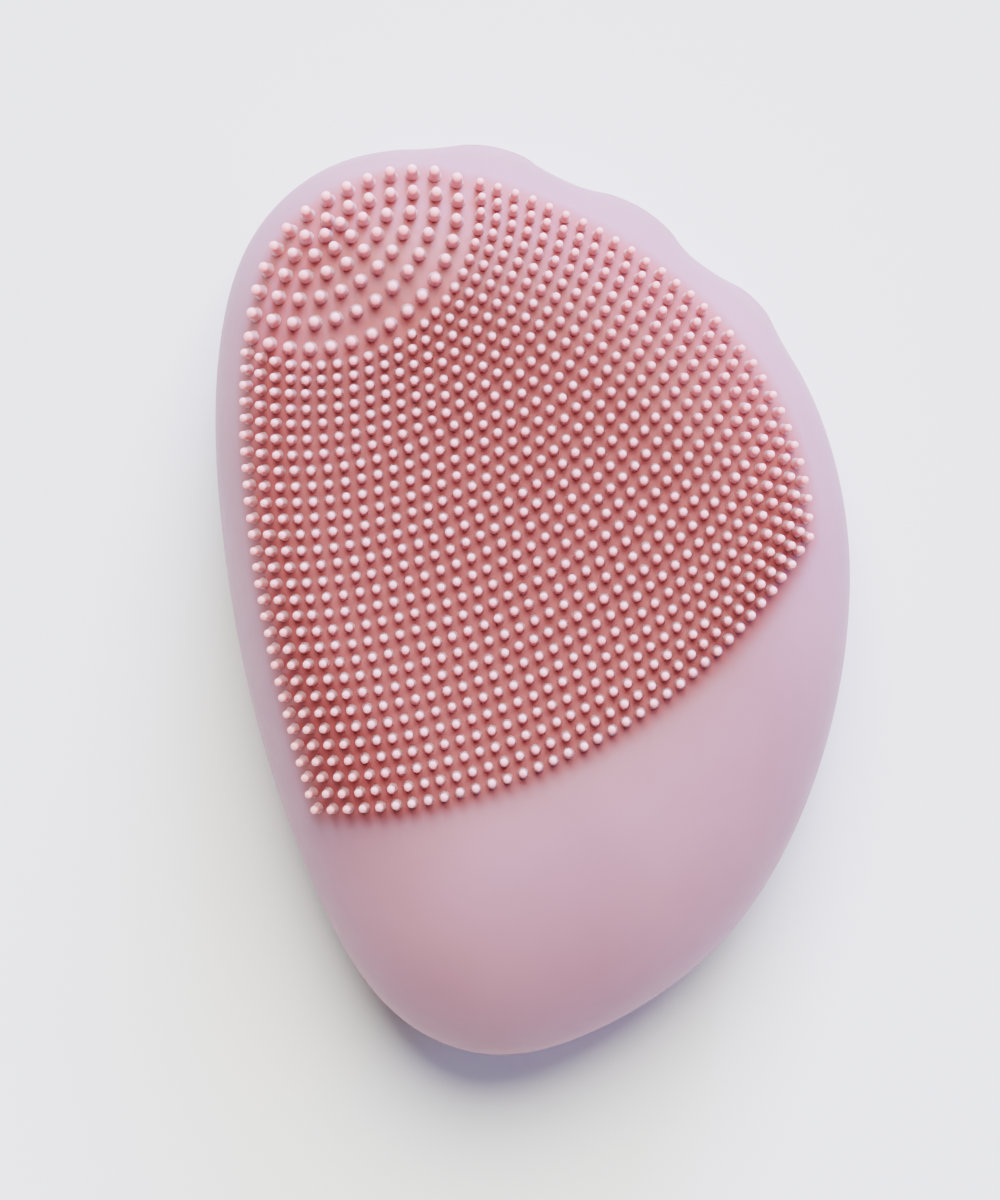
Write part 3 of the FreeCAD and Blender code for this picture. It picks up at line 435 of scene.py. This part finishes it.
def build_mark(name, node, body, outlines):
    """Plain raised symbol moulded on a button's outer face."""
    low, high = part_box(node)
    centre = (low + high) / 2
    vertices = []
    faces = []
    for corners in outlines:
        first = len(vertices)
        count = len(corners)
        for height in (low.z - MARK_RAISE, low.z + MARK_ROOT):
            vertices += [(centre.x + x, centre.y + y, height) for x, y in corners]
        faces.append(tuple(first + count - 1 - step for step in range(count)))
        faces.append(tuple(first + count + step for step in range(count)))
        for step in range(count):
            after = (step + 1) % count
            faces.append((first + step, first + after, first + count + after, first + count + step))
    item = make_object(name, vertices, faces, body)
    item.data.set_sharp_from_angle(angle=SHARP)
    return item


# ---------------------------------------------------------------- material helpers

NOISE_LOW = 0.3  # most of a noise texture's values lie between these
NOISE_HIGH = 0.7
RANGE_SOCKETS = ("From Min", "From Max", "To Min", "To Max")


def linear(red, green, blue):
    """8-bit display colour as linear colour."""
    def one(value):
        value /= 255
        return value / 12.92 if value <= 0.04045 else ((value + 0.055) / 1.055) ** 2.4
    return (one(red), one(green), one(blue), 1.0)


def darker(colour, share):
    """The same colour at a share of its brightness."""
    return tuple(c * share for c in colour[:3]) + (1.0,)


class Nodes:
    """Shorthand for building one material's node tree."""

    def __init__(self, name):
        self.material = bpy.data.materials.new(name)
        self.material.use_nodes = True
        self.tree = self.material.node_tree
        self.shader = self.tree.nodes["Principled BSDF"]

    def add(self, kind, **inputs):
        """Node with some input sockets set, spaces in their names written as underscores."""
        node = self.tree.nodes.new(kind)
        for key, value in inputs.items():
            node.inputs[key.replace("_", " ")].default_value = value
        return node

    def link(self, source, target):
        self.tree.links.new(source, target)

    def coordinates(self):
        return self.add("ShaderNodeTexCoord").outputs["Object"]

    def noise(self, scale, detail):
        """Cloudy value with so many features to the metre."""
        node = self.add("ShaderNodeTexNoise", Scale=scale, Detail=detail)
        self.link(self.coordinates(), node.inputs["Vector"])
        return node.outputs["Fac"]

    def attribute(self, name):
        """Value stored on the mesh by set_attribute."""
        node = self.add("ShaderNodeAttribute")
        node.attribute_name = name
        return node.outputs["Fac"]

    def mix(self, share, low, high):
        """Colour between two colours or sockets."""
        node = self.add("ShaderNodeMix")
        node.data_type = "RGBA"
        self.link(share, node.inputs[0])
        for socket, value in ((node.inputs[6], low), (node.inputs[7], high)):
            if isinstance(value, tuple):
                socket.default_value = value
            else:
                self.link(value, socket)
        return node.outputs[2]

    def remap(self, source, *limits):
        """Carry a value from one range to another: from low, from high, to low, to high."""
        node = self.add("ShaderNodeMapRange")
        self.link(source, node.inputs["Value"])
        for key, value in zip(RANGE_SOCKETS, limits):
            node.inputs[key].default_value = value
        return node.outputs["Result"]

    def spread(self, noise, low=0.0, high=1.0):
        """Noise stretched to fill a range."""
        return self.remap(noise, NOISE_LOW, NOISE_HIGH, low, high)

    def colour(self, source):
        self.link(source, self.shader.inputs["Base Color"])

    def roughness(self, source):
        self.link(source, self.shader.inputs["Roughness"])

    def bump(self, source, depth, strength):
        """Relief of so many metres."""
        node = self.add("ShaderNodeBump", Strength=strength, Distance=depth)
        self.link(source, node.inputs["Height"])
        self.link(node.outputs["Normal"], self.shader.inputs["Normal"])

    def finish(self, **values):
        """The material, with values set on the shader's own sockets."""
        for key, value in values.items():
            self.shader.inputs[key.replace("_", " ")].default_value = value
        return self.material


# ---------------------------------------------------------------- silicone

SKIN_PINK = linear(154, 104, 119)
SKIN_LOW = linear(147, 97, 112)
# painted shade: the deeper pink of the skin between the bristles, standing in for their shadow
FIELD_PAINTED_SHADE = linear(147, 68, 69)
# painted light and shade up each bristle: a paler foot against the shadow, a deeper pink middle as
# shade, pale lit tips
STEM_ROOT_PAINTED_LIGHT = linear(186, 138, 138)
STEM_MIDDLE_PAINTED_SHADE = linear(178, 118, 120)
TIP_PAINTED_HIGHLIGHT = linear(252, 146, 152)
TIP_PAINTED_HIGHLIGHT_PALE = linear(255, 160, 166)


def silicone_finish(nodes, scatter, reach):
    """Fine matt grain, with light scattered inside over a distance."""
    nodes.bump(nodes.noise(2600, 2), 0.012 * MM, 0.5)
    nodes.roughness(nodes.spread(nodes.noise(420, 4), 0.5, 0.6))
    return nodes.finish(
        Subsurface_Weight=scatter,
        Subsurface_Radius=(1.0, 0.55, 0.5),
        Subsurface_Scale=reach,
        Sheen_Weight=0.04,
        Sheen_Roughness=0.5,
        Sheen_Tint=(0.86, 0.84, 1.0, 1.0),
        Specular_IOR_Level=0.3,
    )


def skin_material(name, paints_field_shade):
    """Pale silicone with faint clouding; on the front, painted shade darkens it to a deeper pink among
    the bristles.
    """
    nodes = Nodes(name)
    cloud = nodes.remap(nodes.noise(60, 3), 0.35, 0.65, 0, 1)
    colour = nodes.mix(cloud, SKIN_PINK, SKIN_LOW)
    if paints_field_shade:
        # painted shade among the bristles, full near each root and fading out over FIELD_FADE
        colour = nodes.mix(nodes.attribute("field"), colour, FIELD_PAINTED_SHADE)
    nodes.colour(colour)
    return silicone_finish(nodes, 0.2, 1.6 * MM)


def bristle_material(name):
    """Silicone coloured up the stem as painted light and shade: a paler foot lifts the shadow there, a
    deeper pink middle is painted shade among the bristles, and the pale tips, which differ a little, are
    a painted highlight.
    """
    nodes = Nodes(name)
    height = nodes.attribute("height")
    # stem: painted light at the foot turning to painted shade higher up
    low = nodes.mix(nodes.remap(height, 0.1, 0.6, 0, 1), STEM_ROOT_PAINTED_LIGHT, STEM_MIDDLE_PAINTED_SHADE)
    tip = nodes.mix(nodes.attribute("shade"), TIP_PAINTED_HIGHLIGHT, TIP_PAINTED_HIGHLIGHT_PALE)
    # painted highlight: the pale tip at the top of each bristle
    nodes.colour(nodes.mix(nodes.remap(height, 0.83, 0.95, 0, 1), low, tip))
    return silicone_finish(nodes, 0.6, 2.5 * MM)


# ---------------------------------------------------------------- plastics, metals and the rest

def moulded(name, colour, rough=0.5, grain=900, depth=0.01 * MM, coat=0.0):
    """Moulded plastic or rubber: faint mottling, fine spark-eroded grain."""
    nodes = Nodes(name)
    nodes.colour(nodes.mix(nodes.spread(nodes.noise(90, 4)), darker(colour, 0.86), colour))
    nodes.roughness(nodes.spread(nodes.noise(300, 3), rough - 0.06, rough + 0.06))
    nodes.bump(nodes.noise(grain, 3), depth, 0.6)
    return nodes.finish(Coat_Weight=coat)


def metal(name, colour, rough=0.3, stretch=(1, 1, 30)):
    """Turned or rolled metal with fine lines and uneven polish."""
    nodes = Nodes(name)
    mapping = nodes.add("ShaderNodeMapping", Scale=stretch)
    nodes.link(nodes.coordinates(), mapping.inputs["Vector"])
    texture = nodes.add("ShaderNodeTexNoise", Scale=400.0, Detail=4.0)
    nodes.link(mapping.outputs["Vector"], texture.inputs["Vector"])
    lines = texture.outputs["Fac"]
    nodes.colour(nodes.mix(lines, darker(colour, 0.75), colour))
    nodes.roughness(nodes.spread(lines, rough - 0.08, rough + 0.1))
    nodes.bump(lines, 0.008 * MM, 0.5)
    return nodes.finish(Metallic=1.0)


def winding(name):
    """Enamelled copper wire laid side by side, darker in the grooves between turns as painted shade."""
    nodes = Nodes(name)
    wave = nodes.add("ShaderNodeTexWave", Scale=900.0, Distortion=0.6)
    wave.bands_direction = "Z"
    nodes.link(nodes.coordinates(), wave.inputs["Vector"])
    # painted shade: darker copper in the grooves between turns
    nodes.colour(nodes.mix(wave.outputs["Fac"], linear(120, 50, 22), linear(214, 118, 62)))
    nodes.bump(wave.outputs["Fac"], 0.05 * MM, 0.8)
    return nodes.finish(Metallic=0.85, Roughness=0.32)


def laminate(name):
    """Green circuit board with faint glass weave and paler tracks under the mask."""
    nodes = Nodes(name)
    weave = nodes.add("ShaderNodeTexWave", Scale=700.0, Distortion=0.4)
    nodes.link(nodes.coordinates(), weave.inputs["Vector"])
    cells = nodes.add("ShaderNodeTexVoronoi", Scale=260.0)
    cells.distance = "MANHATTAN"
    cells.feature = "DISTANCE_TO_EDGE"
    nodes.link(nodes.coordinates(), cells.inputs["Vector"])
    tracks = nodes.remap(cells.outputs["Distance"], 0.03, 0.06, 1, 0)
    green = nodes.mix(weave.outputs["Fac"], linear(10, 74, 42), linear(16, 92, 54))
    nodes.colour(nodes.mix(tracks, green, linear(48, 132, 78)))
    nodes.bump(tracks, 0.02 * MM, 0.6)
    return nodes.finish(Roughness=0.35, Coat_Weight=0.4)


def clear_acrylic(name):
    """Clear plastic, polished unevenly."""
    nodes = Nodes(name)
    nodes.roughness(nodes.spread(nodes.noise(500, 2), 0.04, 0.14))
    return nodes.finish(Base_Color=(0.93, 0.95, 0.97, 1.0), Transmission_Weight=0.85, IOR=1.49)


def slot_materials():
    """One material for each of the record's slots."""
    return {
        "skin": skin_material("silicone_front", True),
        "back_skin": skin_material("silicone_back", False),
        "bristle": bristle_material("silicone_bristle"),
        "housing": moulded("abs_case", linear(228, 226, 222), 0.45),
        "frame": moulded("glass_filled_nylon", linear(62, 64, 68), 0.55, 700, 0.02 * MM),
        "seal": moulded("seal_silicone", linear(52, 52, 56), 0.65),
        "steel": metal("steel", linear(196, 197, 200)),
        "magnet": moulded("ferrite", linear(56, 56, 58), 0.6, 1400, 0.02 * MM),
        "bronze": metal("bronze", linear(190, 136, 84), 0.38),
        "copper": winding("copper_winding"),
        "tungsten": metal("tungsten", linear(128, 128, 132), 0.45),
        "motor_plastic": moulded("nylon_cap", linear(232, 228, 214), 0.4),
        "cell": metal("pouch_foil", linear(206, 208, 212), 0.42, (1, 1, 1)),
        "foam": moulded("foam", linear(40, 40, 43), 0.9, 2200, 0.08 * MM),
        "board": laminate("circuit_laminate"),
        "chip": moulded("chip_epoxy", linear(34, 34, 36), 0.6, 3000),
        "wire": moulded("wire_sleeve", linear(176, 34, 30), 0.4),
        "panel": moulded("panel_abs", linear(224, 196, 206), 0.5, 1600),
        "button": moulded("button_abs", linear(243, 230, 235), 0.28, 1200, 0.006 * MM, 0.3),
        "plunger": moulded("plunger_pom", linear(214, 212, 204), 0.4),
        "switch": moulded("switch_body", linear(38, 38, 41), 0.5, 1500),
        "led": moulded("led_epoxy", linear(240, 236, 196), 0.25, 1200, 0.004 * MM, 0.5),
        "light_pipe": clear_acrylic("light_pipe_acrylic"),
        "socket": moulded("socket_body", linear(30, 30, 32), 0.35, 1500),
    }


# ---------------------------------------------------------------- assembly

fine, fine_roots = build_bristles("fine_bristle_field", "fine_bristles", FINE_TIP_SHARE)
thick, thick_roots = build_bristles("thick_bristle_tip", "thick_bristles", THICK_TIP_SHARE)
skin = build_front_skin(fine_roots + thick_roots)
pieces = [(fine, "bristle"), (thick, "bristle"), (skin, "skin")]

POWER_MARK = [
    arc_corners(RING_RADIUS, MARK_WIDTH, RING_GAP),
    bar_corners(MARK_WIDTH, STROKE_LENGTH, STROKE_RISE),
]
BUTTONS = [  # name, depth of the finger dish, outlines of the symbol
    ("power", 0.12 * MM, POWER_MARK),
    ("plus", 0.1 * MM, [cross_corners(BAR_LENGTH, MARK_WIDTH)]),
    ("minus", 0.1 * MM, [bar_corners(BAR_LENGTH, MARK_WIDTH)]),
]
for name, dish, outlines in BUTTONS:
    node = f"{name}_button"
    body = f"{name}_press"
    pieces.append((build_button(f"{name}_cap", node, body, dish), "button"))
    pieces.append((build_mark(f"{name}_mark", node, body, outlines), "switch"))

materials = slot_materials()
for item, slot in pieces:
    item.data.materials.append(materials[slot])

for part in frame["record"]["subparts"]:
    node = frame["nodes"][part["node"]]
    node.data.materials.clear()
    node.data.materials.append(materials[part["material_slot"]])


# ---------------------------------------------------------------- stage, lights and camera

SUNS = [  # name, where it shines from, spread in degrees, strength, colour
    ("key", (0.1, 0.75, 1.0), 48, 14.2, (1.0, 0.985, 0.98)),
    ("head_side", (0.2, 0.95, 0.3), 25, 18.5, (0.34, 0.37, 1.0)),
    ("right_side", (0.95, 0.15, 0.25), 25, 3.2, (0.42, 0.38, 1.0)),
]
SKY_COLOUR = (0.85, 0.85, 1.0, 1.0)
SKY_STRENGTH = 0.27
HORIZON_STRENGTH = 4.1  # as bright as the lit floor
HORIZON_TOP = 0.06  # the band's full strength ends here, as the sine of the height
SKY_FROM = 0.1
FLOOR_HALF = 60.0  # metres, so that its edge is on the horizon
FLOOR_COLOUR = (0.78, 0.78, 0.72, 1.0)
VIEW_WIDTH = 110 * MM  # what the picture shows across
VIEW_OFFSET = -3.6 * MM  # the picture's middle lies this far to the left of the brush's
CAMERA_HEIGHT = 1.2
SENSOR_WIDTH = 36  # in millimetres, as the lens is
CLIP = (0.01, 200)


def sun_light(name, place, spread, strength, colour):
    """Even light from one direction, the softer the wider its spread."""
    lamp = bpy.data.lights.new(name, "SUN")
    lamp.angle = math.radians(spread)
    lamp.energy = strength
    lamp.color = colour
    item = bpy.data.objects.new(name, lamp)
    item.rotation_euler = (-Vector(place)).to_track_quat("-Z", "Y").to_euler()
    bpy.context.scene.collection.objects.link(item)


def build_world():
    """Faint even sky, with a pale band over the horizon that carries on from the lit floor."""
    world = bpy.data.worlds.new("studio")
    world.use_nodes = True
    tree = world.node_tree
    background = tree.nodes["Background"]
    background.inputs["Color"].default_value = SKY_COLOUR
    direction = tree.nodes.new("ShaderNodeTexCoord")
    split = tree.nodes.new("ShaderNodeSeparateXYZ")
    band = tree.nodes.new("ShaderNodeMapRange")
    tree.links.new(direction.outputs["Generated"], split.inputs["Vector"])
    tree.links.new(split.outputs["Z"], band.inputs["Value"])
    tree.links.new(band.outputs["Result"], background.inputs["Strength"])
    for key, value in zip(RANGE_SOCKETS, (HORIZON_TOP, SKY_FROM, HORIZON_STRENGTH, SKY_STRENGTH)):
        band.inputs[key].default_value = value
    bpy.context.scene.world = world


def build_floor():
    """Wide pale sheet that the brush lies on."""
    mesh = bpy.data.meshes.new("floor")
    signs = ((-1, -1), (1, -1), (1, 1), (-1, 1))
    corners = [(x * FLOOR_HALF, y * FLOOR_HALF, CAD_BOX[0].z) for x, y in signs]
    mesh.from_pydata(corners, [], [(0, 1, 2, 3)])
    floor = bpy.data.objects.new("floor", mesh)
    bpy.context.scene.collection.objects.link(floor)
    nodes = Nodes("floor_paper")
    floor.data.materials.append(nodes.finish(Base_Color=FLOOR_COLOUR, Roughness=0.9))


def build_camera():
    """Camera square on to the bristle face, framed to show a set width at the seam's height."""
    lens = bpy.data.cameras.new("camera")
    lens.sensor_fit = "HORIZONTAL"
    lens.sensor_width = SENSOR_WIDTH
    lens.lens = SENSOR_WIDTH * (CAMERA_HEIGHT - SEAM) / VIEW_WIDTH
    lens.clip_start, lens.clip_end = CLIP
    camera = bpy.data.objects.new("camera", lens)
    camera.location = (VIEW_OFFSET, 0, CAMERA_HEIGHT)
    bpy.context.scene.collection.objects.link(camera)
    bpy.context.scene.camera = camera


build_floor()
build_world()
build_camera()
for sun in SUNS:
    sun_light(*sun)
